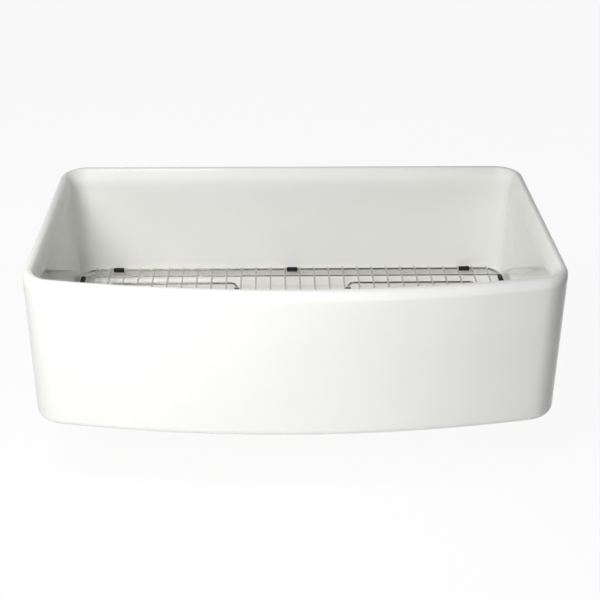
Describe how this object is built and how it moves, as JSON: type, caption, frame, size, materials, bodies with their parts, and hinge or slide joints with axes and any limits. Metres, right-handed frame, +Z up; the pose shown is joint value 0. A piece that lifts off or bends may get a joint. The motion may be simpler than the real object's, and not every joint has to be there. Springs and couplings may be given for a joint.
{
  "type": "farmhouse apron front kitchen sink",
  "caption": "White fireclay single bowl kitchen sink with a bowed apron front, a lift-out wire grid and a basket strainer drain.",
  "frame": {"origin": "on the flat underside, midway between the sides, 45.5 mm behind the foremost line of the bowed apron", "axes": "+X to the right seen from the front, +Y from the apron to the back, +Z up"},
  "size_m": [0.838, 0.508, 0.394],
  "materials": {
    "glazed_fireclay": "glossy white glaze",
    "stainless_wire": "electropolished",
    "polished_stainless": "polished",
    "cast_zinc": "as cast",
    "black_rubber": "matt",
    "red_fibre": "vulcanised fibre",
    "grey_foam": "closed cell foam"
  },
  "bodies": {
    "sink": {"basin": "glazed_fireclay", "strainer_body": "polished_stainless", "strainer_cross": "polished_stainless", "strainer_gasket": "grey_foam", "rubber_washer": "black_rubber", "friction_ring": "red_fibre", "lock_nut": "cast_zinc", "tailpiece_washer": "black_rubber", "tailpiece": "polished_stainless", "coupling_nut": "cast_zinc"},
    "grid": {"grid_rim_wire": "stainless_wire", "grid_mesh": "stainless_wire", "grid_drain_ring": "stainless_wire", "leg_wire_rear_left": "stainless_wire", "leg_wire_rear_right": "stainless_wire", "leg_wire_front_left": "stainless_wire", "leg_wire_front_right": "stainless_wire", "shoe_rear_left_outer": "black_rubber", "shoe_rear_left_inner": "black_rubber", "shoe_rear_right_outer": "black_rubber", "shoe_rear_right_inner": "black_rubber", "shoe_front_left_outer": "black_rubber", "shoe_front_left_inner": "black_rubber", "shoe_front_right_outer": "black_rubber", "shoe_front_right_inner": "black_rubber", "bumper_left_rear": "black_rubber", "bumper_left_front": "black_rubber", "bumper_right_rear": "black_rubber", "bumper_right_front": "black_rubber", "bumper_rear_left": "black_rubber", "bumper_rear_middle": "black_rubber", "bumper_rear_right": "black_rubber", "bumper_front_left": "black_rubber", "bumper_front_middle": "black_rubber", "bumper_front_right": "black_rubber"},
    "basket": {"basket_cup": "polished_stainless", "basket_knob": "polished_stainless", "basket_stopper": "black_rubber", "basket_nut": "polished_stainless"}
  },
  "joints": [
    {"name": "grid_lift", "type": "slide", "parent": "sink", "child": "grid", "axis": [0, 0, 1], "range_m": [0, 0.24]},
    {"name": "basket_lift", "type": "slide", "parent": "sink", "child": "basket", "axis": [0, 0, 1], "range_m": [0, 0.32]}
  ]
}
